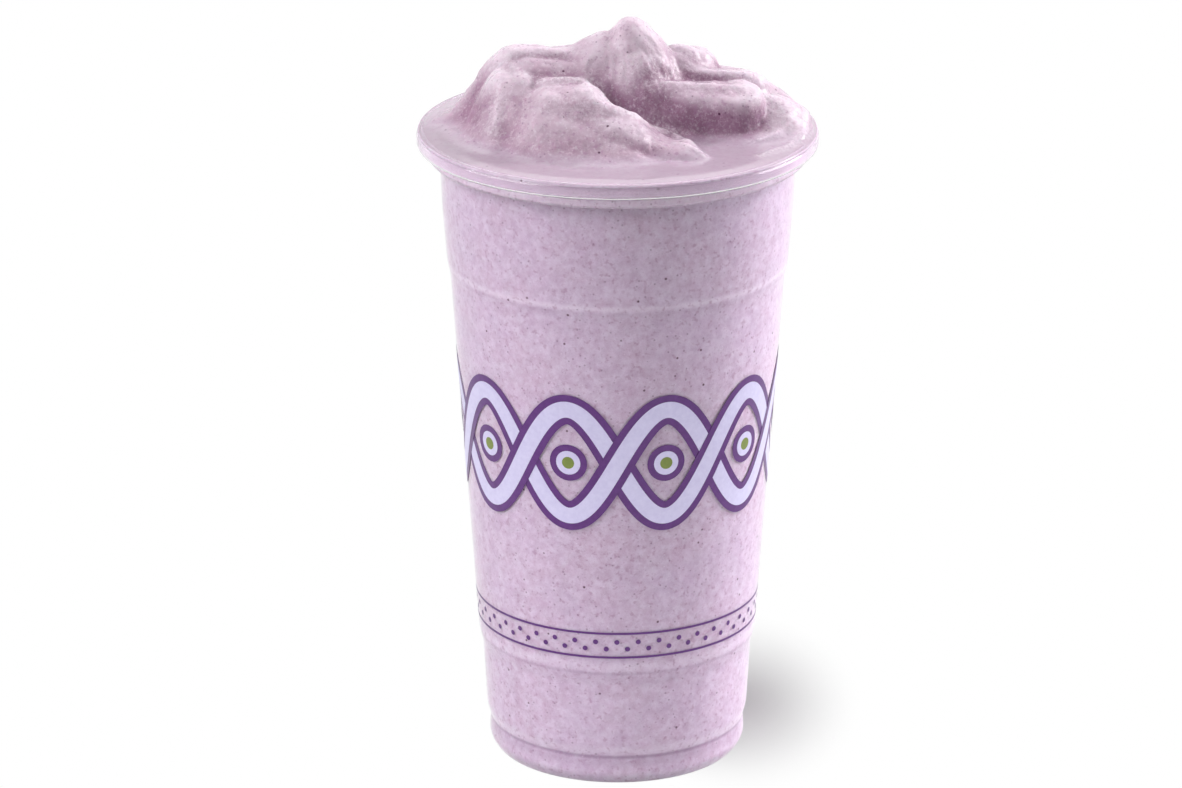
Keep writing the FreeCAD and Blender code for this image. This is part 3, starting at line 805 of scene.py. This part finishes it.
Speck = namedtuple("Speck", "name cell radius kept strength colour")
SPECKS = [
    Speck("ground skin", 1.9, 0.16, 0.70, 0.55, "#7E5A7A"),
    Speck("finer skin", 1.1, 0.14, 0.50, 0.45, "#8A6586"),
    Speck("a flake of skin here and there", 4.5, 0.085, 0.50, 1.0, "#5C3350"),
    Speck("pale bubbles", 1.2, 0.13, 0.40, 0.5, "#F0E8F3"),
]
FLECK_COLOUR = "#AC84A4"
FLECK_STRENGTH = 0.55
SHOWN_IN_MELT = 0.35


def specked(tree, colour, place, wet):
    """Lay soft flecks and the specks over a colour, fainter in the melt."""
    shown = add_node(tree, "ShaderNodeMapRange", {"Value": wet, "To Min": 1.0, "To Max": SHOWN_IN_MELT})
    masks = [(patches(tree, place, 1.15, 2.0, 0.5, 0.58, 0.70), FLECK_STRENGTH, FLECK_COLOUR)]
    for speck in SPECKS:
        masks.append((spots(tree, place, speck.cell, speck.radius, speck.kept), speck.strength, speck.colour))
    for mask, strength, tone in masks:
        there = add_node(tree, "ShaderNodeMath", {0: mask, 1: shown.outputs[0]}, operation="MULTIPLY")
        colour = tinted(tree, colour, linear(tone), there.outputs[0], strength)
    return colour


for speck in SPECKS:
    print(speck.name, "is", round(2 * speck.radius * speck.cell, 2), "mm across")

# %% How rough and how grainy the slush is
ICE_GRAIN = 0.8
ICE_BUMP = 0.22
GRAIN_BEHIND_PLASTIC = 0.06
GRAIN_ON_HEAP = 0.60
DRY_ROUGHNESS = 0.42
DAMP_ROUGHNESS = 0.18
MELT_ROUGHNESS = 0.14


def slush_roughness(tree, place, wet):
    """Dull where the heap has drained, damp in patches of some 6 mm, and smooth and wet in the melt."""
    damp = patches(tree, place, 6.0, 3.0, 0.6, 0.40, 0.60)
    heap_rough = add_node(tree, "ShaderNodeMapRange", {"Value": damp, "To Min": DRY_ROUGHNESS,
                                                       "To Max": DAMP_ROUGHNESS})
    rough = add_node(tree, "ShaderNodeMapRange", {"Value": wet, "To Min": heap_rough.outputs[0],
                                                  "To Max": MELT_ROUGHNESS})
    return rough.outputs[0]


def icy_grain(tree, place, heap):
    """The fine bumps of crushed ice: strong on the heap, nearly gone behind the plastic."""
    grain = add_node(tree, "ShaderNodeTexNoise", {"Vector": place, "Scale": 1 / (ICE_GRAIN * MM), "Detail": 4.0,
                                                  "Roughness": 0.7})
    strength = add_node(tree, "ShaderNodeMapRange", {"Value": heap, "To Min": GRAIN_BEHIND_PLASTIC,
                                                     "To Max": GRAIN_ON_HEAP})
    bump = add_node(tree, "ShaderNodeBump", {"Height": grain.outputs["Fac"], "Distance": ICE_BUMP * MM,
                                             "Strength": strength.outputs[0]})
    return bump.outputs["Normal"]


print("crushed ice of", ICE_GRAIN, "mm, roughness from", MELT_ROUGHNESS, "in the melt to", DRY_ROUGHNESS)

# %% Slush material
SLUSH_IOR = 1.35
MELT_COLOUR = "#B29DAD"
MELT_STRENGTH = 0.8
# The painted highlight: a pale ice colour laid along the ribs.
PAINTED_GLINT_COLOUR = "#F3E6F1"
PAINTED_GLINT_STRENGTH = 0.8
SCATTER_SHARE = 0.35
SCATTER_RADIUS = (1.0, 0.6, 0.8)
SCATTER_DEPTH = 1.1


def slush():
    """Taro and ice, blended and heaped: a pale scattering body, grainy and dull on the heap and glossy in the melt."""
    material, tree = new_material("taro_and_ice_blended")
    place = add_node(tree, "ShaderNodeTexCoord").outputs["Object"]
    # hollow carries the painted light and shade; painted_glint carries the painted highlight.
    heap, wet, hollow, painted_glint = (add_node(tree, "ShaderNodeAttribute", attribute_name=name).outputs["Fac"]
                                for name in ("heap", "wet", "hollow", "painted_glint"))
    colour = tinted(tree, behind_plastic(tree, place), open_heap(tree, place, hollow), heap)
    colour = tinted(tree, colour, linear(MELT_COLOUR), wet, MELT_STRENGTH)
    colour = specked(tree, colour, place, wet)
    # Painted highlight: the pale ice colour in grains along the ribs.
    ice = patches(tree, place, ICE_GRAIN, 3.0, 0.7, 0.44, 0.66)
    lit = add_node(tree, "ShaderNodeMath", {0: painted_glint, 1: ice}, operation="MULTIPLY")
    colour = tinted(tree, colour, linear(PAINTED_GLINT_COLOUR), lit.outputs[0], PAINTED_GLINT_STRENGTH)
    blended = add_node(tree, "ShaderNodeBsdfPrincipled",
                       {"Base Color": colour, "Roughness": slush_roughness(tree, place, wet), "IOR": SLUSH_IOR,
                        "Subsurface Weight": SCATTER_SHARE, "Subsurface Radius": SCATTER_RADIUS,
                        "Subsurface Scale": SCATTER_DEPTH * MM, "Normal": icy_grain(tree, place, heap)})
    add_node(tree, "ShaderNodeOutputMaterial", {"Surface": blended.outputs[0]})
    print("taro_and_ice_blended", len(tree.nodes), "nodes")
    return material


SLUSH = slush()

# %% Finish the drink
HEAP_TONE_AT = 0.10
MELT_BELOW = 0.08


def paint(made, name, level_value, top_points, values):
    """Store one value at each point for the material to read: the level's own everywhere but on the top."""
    painted = np.full(len(made.data.vertices), level_value)
    painted[top_points] = values
    made.data.attributes.new(name, "FLOAT", "POINT").data.foreach_set("value", painted)
    print("painted", name, "with a mean of", round(float(painted.mean()), 3))


def finish_drink():
    drink_bmesh.verts.index_update()
    top_points = [vert.index for vert in top_verts]
    drink = finish_piece(drink_bmesh, "smoothie_heap", SLUSH)
    paint(drink, "heap", 0.0, top_points, np.clip(heap_share / HEAP_TONE_AT, 0, 1))
    # The painted light on crests and painted shade in creases.
    paint(drink, "hollow", 0.5, top_points, painted_light_and_shade_there)
    paint(drink, "wet", 0.0, top_points, 1 - np.clip(heap_share / MELT_BELOW, 0, 1))
    # The painted highlight along the ribs.
    paint(drink, "painted_glint", 0.0, top_points, painted_glint_there)
    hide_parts("smoothie")


finish_drink()

# %% [markdown]
# ## The print
# The cup's print is screen ink on the outside of the wall: a deep purple under-print, a pale lavender over-print, and
# a little olive green. Ink of this kind is opaque and satin, so to the eye its colours are flat and even, with a soft
# shine that follows the cup. Each layer stands a few hundredths of a millimetre proud. It could be an image laid on
# the wall, but its edges would be soft close to. Every shape starts flat instead, as a grid or a spun disc in
# millimetres, and is then wrapped on the cone of the wall. The design is a plain plait of two waves with ringed dots
# between them, and a border of fine lines and beads below.

# %% Ink
INK_IOR = 1.5
INK_ROUGHNESS = 0.32


def screen_ink(name, colour, second):
    """Screen ink: opaque, satin, and faintly uneven where the mesh of the screen laid it down."""
    material, tree = new_material(name)
    place = add_node(tree, "ShaderNodeTexCoord").outputs["Object"]
    uneven = patches(tree, place, 1.3, 3.0, 0.6, 0.35, 0.65)
    ink = add_node(tree, "ShaderNodeBsdfPrincipled",
                   {"Base Color": tinted(tree, linear(colour), linear(second), uneven), "Roughness": INK_ROUGHNESS,
                    "IOR": INK_IOR})
    add_node(tree, "ShaderNodeOutputMaterial", {"Surface": ink.outputs[0]})
    print(name, len(tree.nodes), "nodes")
    return material


PURPLE = screen_ink("screen_ink_deep_purple", "#55226F", "#5E2A79")
LAVENDER = screen_ink("screen_ink_pale_lavender", "#D6D0F0", "#CEC7EA")
OLIVE = screen_ink("screen_ink_olive_green", "#7C8A3C", "#73823A")

# %% Wrap flat shapes on the wall
WALL_FOOT = SHEET_LINE[8]
WALL_TOP = SHEET_LINE[9]
LAYER = 0.03
INK_THICKNESS = 0.02
INK_MERGE = 0.002
CRISP_FROM = math.radians(40)


def wall_radius(height):
    rise = (height - WALL_FOOT.height) / (WALL_TOP.height - WALL_FOOT.height)
    return WALL_FOOT.radius + (WALL_TOP.radius - WALL_FOOT.radius) * rise


def wrapped(turn, height, lift):
    """A place on the wall: a turn in radians from the front, a height and a lift off the plastic in millimetres."""
    radius = wall_radius(height) + lift
    return Vector((radius * math.sin(turn), -radius * math.cos(turn), height)) * MM


def print_piece(bm, name, material):
    """A wrapped layer of ink: normals turned out, a little thickness, and crisp edges."""
    bmesh.ops.remove_doubles(bm, verts=bm.verts, dist=INK_MERGE * MM)
    inward = [face for face in bm.faces if face.normal.dot(face.calc_center_median() * Vector((1, 1, 0))) < 0]
    bmesh.ops.reverse_faces(bm, faces=inward)
    bmesh.ops.solidify(bm, geom=bm.faces[:], thickness=INK_THICKNESS * MM)
    piece = finish_piece(bm, name, material)
    piece.data.set_sharp_from_angle(angle=CRISP_FROM)


print("the wall is", 2 * WALL_FOOT.radius, "mm across at its foot and", 2 * WALL_TOP.radius, "mm at its top")

# %% The plait of two waves
WAVES = 5
PLAIT_HEIGHT = 84.0
PLAIT_SWING = 13.5
OVER = 0.05
STRAND_STEPS = 480
STRAND_EDGE = 3.7
STRAND_FILL = 2.0


def strand(bm, phase, half_width, lift):
    """One wave round the cup; at its crossings it passes over and under the other in turn."""
    for vert in bmesh.ops.create_grid(bm, x_segments=STRAND_STEPS, y_segments=3, size=1.0)["verts"]:
        turn, across = math.pi * vert.co.x, vert.co.y * half_width
        angle = WAVES * turn + phase
        middle = PLAIT_HEIGHT + PLAIT_SWING * math.sin(angle)
        slope = PLAIT_SWING * WAVES * math.cos(angle) / wall_radius(middle)
        length = math.hypot(1, slope)
        turn -= across * slope / length / wall_radius(middle)
        vert.co = wrapped(turn, middle + across / length, lift + OVER * math.cos(angle))


def build_plait():
    for name, phase in (("plait_first", 0.0), ("plait_second", math.pi)):
        edge = bmesh.new()
        strand(edge, phase, STRAND_EDGE, OVER + LAYER)
        print_piece(edge, name + "_purple", PURPLE)
        fill = bmesh.new()
        strand(fill, phase, STRAND_FILL, OVER + 2 * LAYER)
        print_piece(fill, name + "_lavender", LAVENDER)


build_plait()

# %% Ringed dots between the waves
DISC_STEPS = 28


def disc(bm, turn, height, radius, lift):
    """A round dot: a short line spun in the flat, then wrapped."""
    before = len(bm.verts)
    line = [bm.verts.new((share * radius * MM, 0, 0)) for share in (0.0, 0.5, 1.0)]
    edges = [bm.edges.new(pair) for pair in zip(line, line[1:])]
    bmesh.ops.spin(bm, geom=line + edges, cent=CENTRE, axis=UP, angle=math.tau, steps=DISC_STEPS)
    for vert in bm.verts[:][before:]:
        across, up = vert.co.x / MM, vert.co.y / MM
        vert.co = wrapped(turn + across / wall_radius(height), height + up, lift)


def dots(name, material, radius, lift, places):
    bm = bmesh.new()
    for turn, height in places:
        disc(bm, turn, height, radius, lift)
    print_piece(bm, name, material)


OPENINGS = [((index + 0.5) * math.pi / WAVES, PLAIT_HEIGHT) for index in range(2 * WAVES)]
dots("ringed_dots_purple", PURPLE, 4.6, LAYER, OPENINGS)
dots("ringed_dots_lavender", LAVENDER, 3.0, 2 * LAYER, OPENINGS)
dots("ringed_dots_green", OLIVE, 1.5, 3 * LAYER, OPENINGS)

# %% Fine border below
BORDER_HEIGHTS = (40.4, 34.2)
BORDER_HALF_WIDTH = 0.28
BORDER_STEPS = 240
BEADS = 84
BEAD_HEIGHT = 37.3
BEAD_SWING = 0.9
BEAD_RADIUS = 0.62


def border_line(bm, height):
    for vert in bmesh.ops.create_grid(bm, x_segments=BORDER_STEPS, y_segments=1, size=1.0)["verts"]:
        vert.co = wrapped(math.pi * vert.co.x, height + vert.co.y * BORDER_HALF_WIDTH, LAYER)


def build_border():
    bm = bmesh.new()
    for height in BORDER_HEIGHTS:
        border_line(bm, height)
    print_piece(bm, "border_lines", PURPLE)
    beads = [(index * math.tau / BEADS, BEAD_HEIGHT + BEAD_SWING * (-1) ** index) for index in range(BEADS)]
    dots("border_beads", PURPLE, BEAD_RADIUS, LAYER, beads)


build_border()

# %% [markdown]
# ## Floor, background and light
# The drink stands on a pale paper sweep, as in a small product studio. A real sweep is lit until it is white, which
# would also bleach the drink. So the light stays plain, and the floor and the world are simply seen as white: by the
# camera, in gloss and through the clear plastic. Close to the foot, on its right, the floor shows as paper, so that
# it keeps the soft shadow there, and in that patch the camera sees the paper painted darker: a painted shadow that
# deepens the real one.

# %% What the eye, gloss and clear plastic see as plain white
def seen_white(tree, behind):
    """1 for camera rays, and for gloss and clear plastic as far as they look towards the backdrop; 0 for others."""
    path = add_node(tree, "ShaderNodeLightPath").outputs
    shiny = add_node(tree, "ShaderNodeMath", {0: path["Is Glossy Ray"], 1: path["Is Transmission Ray"]},
                     operation="MAXIMUM")
    undimmed = add_node(tree, "ShaderNodeMath", {0: path["Diffuse Depth"], 1: 0.5}, operation="LESS_THAN")
    mirrored = add_node(tree, "ShaderNodeMath", {0: shiny.outputs[0], 1: undimmed.outputs[0]}, operation="MULTIPLY")
    faded = add_node(tree, "ShaderNodeMath", {0: mirrored.outputs[0], 1: behind}, operation="MULTIPLY")
    white = add_node(tree, "ShaderNodeMath", {0: path["Is Camera Ray"], 1: faded.outputs[0]}, operation="MAXIMUM")
    return white.outputs[0]


print("the backdrop is seen as white by camera, gloss and clear plastic")

# %% What the paper gives back
# All of these places are in metres.
# The patch of painted shadow right of the foot: its centre, its shape, and where it fades to white.
PAINTED_SHADOW_CENTRE = (0.029, 0.0245, 0.0)
PAINTED_SHADOW_SHAPE = (1 / 0.52, 1.0, 1.0)
PAINTED_SHADOW_FADES = (-0.005, 0.062)
# Paper near the foot throws light back up on to the cup; farther off it is kept dark, as the edge of a small sweep is.
BOUNCE_FADES = (0.16, 0.32)
BOUNCE_NEAR = 0.88
BOUNCE_FAR = 0.12
# How much darker the camera sees the paper in that patch: painted shadow.
PAINTED_SHADOW_DARKER = 0.49


def paper_bounce(tree, place):
    """How much light the paper gives back, at each place, and how much darker the camera sees it in the patch of
    painted shadow.
    """
    from_drink = add_node(tree, "ShaderNodeVectorMath", {0: place}, operation="LENGTH").outputs["Value"]
    bounce = add_node(tree, "ShaderNodeMapRange",
                      {"Value": from_drink, "From Min": BOUNCE_FADES[0], "From Max": BOUNCE_FADES[1],
                       "To Min": BOUNCE_NEAR, "To Max": BOUNCE_FAR})
    seen = add_node(tree, "ShaderNodeLightPath").outputs["Is Camera Ray"]
    less = add_node(tree, "ShaderNodeMath", {0: seen, 1: PAINTED_SHADOW_DARKER}, operation="MULTIPLY")
    given = add_node(tree, "ShaderNodeMath", {0: bounce.outputs[0], 1: less.outputs[0]}, operation="SUBTRACT")
    tone = given.outputs[0]
    return add_node(tree, "ShaderNodeCombineColor", {0: tone, 1: tone, 2: tone}).outputs[0]


def outside_painted_shadow(tree, place):
    """0 in the patch right of the foot where the paper shows its shadow and a painted shadow, 1 away from it."""
    moved = add_node(tree, "ShaderNodeVectorMath", {0: place, 1: PAINTED_SHADOW_CENTRE}, operation="SUBTRACT")
    shaped = add_node(tree, "ShaderNodeVectorMath", {0: moved.outputs["Vector"], 1: PAINTED_SHADOW_SHAPE},
                      operation="MULTIPLY")
    from_painted_shadow = add_node(tree, "ShaderNodeVectorMath", {0: shaped.outputs["Vector"]}, operation="LENGTH")
    away = add_node(tree, "ShaderNodeMapRange", {"Value": from_painted_shadow.outputs["Value"], "From Min": PAINTED_SHADOW_FADES[0],
                                                 "From Max": PAINTED_SHADOW_FADES[1]}, interpolation_type="SMOOTHSTEP")
    return away.outputs[0]


print("paper gives back", BOUNCE_NEAR, "of the light near the foot and", BOUNCE_FAR, "far off")

# %% Floor
FLOOR_SIZE = 3.0


def sweep_paper():
    """Matt white paper: no gloss at all, and plain white to the eye outside the patch of painted shadow."""
    material, tree = new_material("paper_sweep_white")
    place = add_node(tree, "ShaderNodeTexCoord").outputs["Object"]
    paper = add_node(tree, "ShaderNodeBsdfDiffuse", {"Color": paper_bounce(tree, place)})
    glow = add_node(tree, "ShaderNodeEmission", {"Color": WHITE, "Strength": 1.0})
    bright = add_node(tree, "ShaderNodeMath", {0: seen_white(tree, 1.0), 1: outside_painted_shadow(tree, place)},
                      operation="MULTIPLY")
    mixed = add_node(tree, "ShaderNodeMixShader", {0: bright.outputs[0], 1: paper.outputs[0], 2: glow.outputs[0]})
    add_node(tree, "ShaderNodeOutputMaterial", {"Surface": mixed.outputs[0]})
    return material


def build_floor():
    bm = bmesh.new()
    bmesh.ops.create_grid(bm, x_segments=1, y_segments=1, size=FLOOR_SIZE)
    mesh = bpy.data.meshes.new("floor")
    bm.to_mesh(mesh)
    bm.free()
    mesh.materials.append(sweep_paper())
    floor = bpy.data.objects.new("floor", mesh)
    bpy.context.scene.collection.objects.link(floor)
    print("floor", 2 * FLOOR_SIZE, "m wide")


build_floor()

# %% World
ROOM_LIGHT = 0.24
SEEN_IN_FRONT = 0.4
BACKDROP_FADES = (-0.6, 0.1)


def build_world():
    """A room of even low light that the eye sees as white; gloss sees the room in front as darker than the back."""
    world = bpy.data.worlds.new("studio")
    world.use_nodes = True
    tree = world.node_tree
    tree.nodes.clear()
    room = add_node(tree, "ShaderNodeBackground", {"Color": WHITE, "Strength": ROOM_LIGHT})
    white = add_node(tree, "ShaderNodeBackground", {"Color": WHITE, "Strength": 1.0})
    looking = add_node(tree, "ShaderNodeTexCoord").outputs["Generated"]
    direction = add_node(tree, "ShaderNodeSeparateXYZ", {"Vector": looking})
    behind = add_node(tree, "ShaderNodeMapRange",
                      {"Value": direction.outputs["Y"], "From Min": BACKDROP_FADES[0],
                       "From Max": BACKDROP_FADES[1], "To Min": SEEN_IN_FRONT})
    share = seen_white(tree, behind.outputs[0])
    mixed = add_node(tree, "ShaderNodeMixShader", {0: share, 1: room.outputs[0], 2: white.outputs[0]})
    add_node(tree, "ShaderNodeOutputWorld", {"Surface": mixed.outputs[0]})
    bpy.context.scene.world = world
    print("world", len(tree.nodes), "nodes, light", ROOM_LIGHT)


build_world()

# %% [markdown]
# ## The lamps
# Soft boxes give a wet slush long, gentle highlights where a bare bulb would give hard dots. The strongest stands at
# the left and a little in front. A second one, at the right and behind, draws the bright right edge of the cup. A
# sheet of light overhead and a box behind open up the folds, a small lamp at the right and behind puts crisp glints
# on wet edges, and a low card in front lifts the foot of the cup. The card is hidden from the camera and from gloss,
# so that no bright bar shows in the plastic.

# %% Lamps
DRINK_MIDDLE = (0, 0, 0.08)


def add_lamp(name, place, size, watts, target=DRINK_MIDDLE):
    """A soft rectangular lamp aimed at the drink."""
    data = bpy.data.lights.new(name, "AREA")
    data.shape = "RECTANGLE"
    data.size, data.size_y = size
    data.energy = watts
    lamp = bpy.data.objects.new(name, data)
    bpy.context.scene.collection.objects.link(lamp)
    lamp.location = place
    lamp.rotation_euler = (Vector(target) - Vector(place)).to_track_quat("-Z", "Y").to_euler()
    print(name, watts, "W")
    return lamp


add_lamp("soft_box_left", (-0.93, -0.33, 0.72), (1.0, 0.9), 11.6)
add_lamp("soft_box_right", (1.08, 0.30, 0.42), (0.8, 0.6), 8.1)
add_lamp("soft_box_above", (0.00, -0.05, 1.20), (0.7, 0.7), 2.4)
add_lamp("soft_box_behind", (0.15, 0.72, 0.85), (1.2, 0.5), 2.6, target=(0.0, 0.0, 0.16))
add_lamp("small_lamp_behind", (0.72, 0.40, 0.58), (0.16, 0.16), 5.0)
low_card = add_lamp("low_card_in_front", (0.08, -0.21, 0.012), (0.24, 0.04), 0.12, target=(0.0, 0.0, 0.05))
low_card.visible_camera = low_card.visible_glossy = low_card.visible_transmission = False

scene = bpy.context.scene
scene.view_settings.view_transform = "Standard"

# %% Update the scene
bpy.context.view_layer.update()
